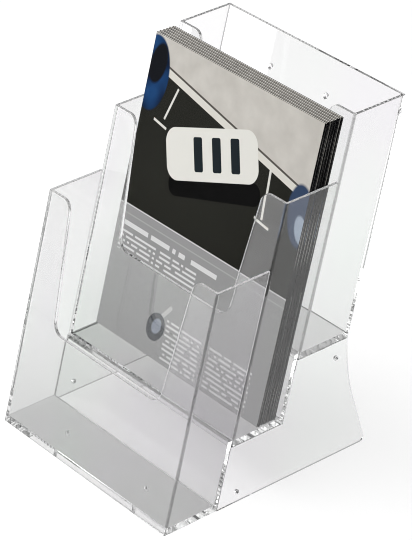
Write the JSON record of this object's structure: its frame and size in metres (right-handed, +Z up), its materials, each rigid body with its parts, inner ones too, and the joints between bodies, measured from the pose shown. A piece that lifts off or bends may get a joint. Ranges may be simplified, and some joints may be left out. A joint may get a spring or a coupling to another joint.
{
  "type": "magazine rack",
  "caption": "Clear tiered counter rack with letter-size pockets that step up and lean back, hand cut-outs in front, side cheeks that flare to a foot, and a stack of loose brochures.",
  "frame": {"origin": "on the table, midway along the overall width and the overall depth", "axes": "+X to the right of a person who faces the rack, +Y to its back, +Z up"},
  "size_m": [0.226, 0.2601, 0.3303],
  "materials": {
    "clear_plastic": "clear moulded polystyrene, polished, colourless",
    "printed_paper": "coated printed paper, satin, folded and stapled at the left edge"
  },
  "bodies": {
    "rack": {"front_tray": "clear_plastic", "middle_tray": "clear_plastic", "rear_tray": "clear_plastic", "left_cheek": "clear_plastic", "right_cheek": "clear_plastic"},
    "brochure_1": {"brochure_1": "printed_paper"},
    "brochure_2": {"brochure_2": "printed_paper"},
    "brochure_3": {"brochure_3": "printed_paper"},
    "brochure_4": {"brochure_4": "printed_paper"},
    "brochure_5": {"brochure_5": "printed_paper"},
    "brochure_6": {"brochure_6": "printed_paper"}
  },
  "joints": [
    {"name": "brochure_1_lift", "type": "slide", "parent": "rack", "child": "brochure_1", "axis": [0, 0.2588, 0.9659], "range_m": [0, 0.22]},
    {"name": "brochure_2_lift", "type": "slide", "parent": "rack", "child": "brochure_2", "axis": [0, 0.2588, 0.9659], "range_m": [0, 0.22]},
    {"name": "brochure_3_lift", "type": "slide", "parent": "rack", "child": "brochure_3", "axis": [0, 0.2588, 0.9659], "range_m": [0, 0.22]},
    {"name": "brochure_4_lift", "type": "slide", "parent": "rack", "child": "brochure_4", "axis": [0, 0.2588, 0.9659], "range_m": [0, 0.22]},
    {"name": "brochure_5_lift", "type": "slide", "parent": "rack", "child": "brochure_5", "axis": [0, 0.2588, 0.9659], "range_m": [0, 0.22]},
    {"name": "brochure_6_lift", "type": "slide", "parent": "rack", "child": "brochure_6", "axis": [0, 0.2588, 0.9659], "range_m": [0, 0.22]}
  ]
}
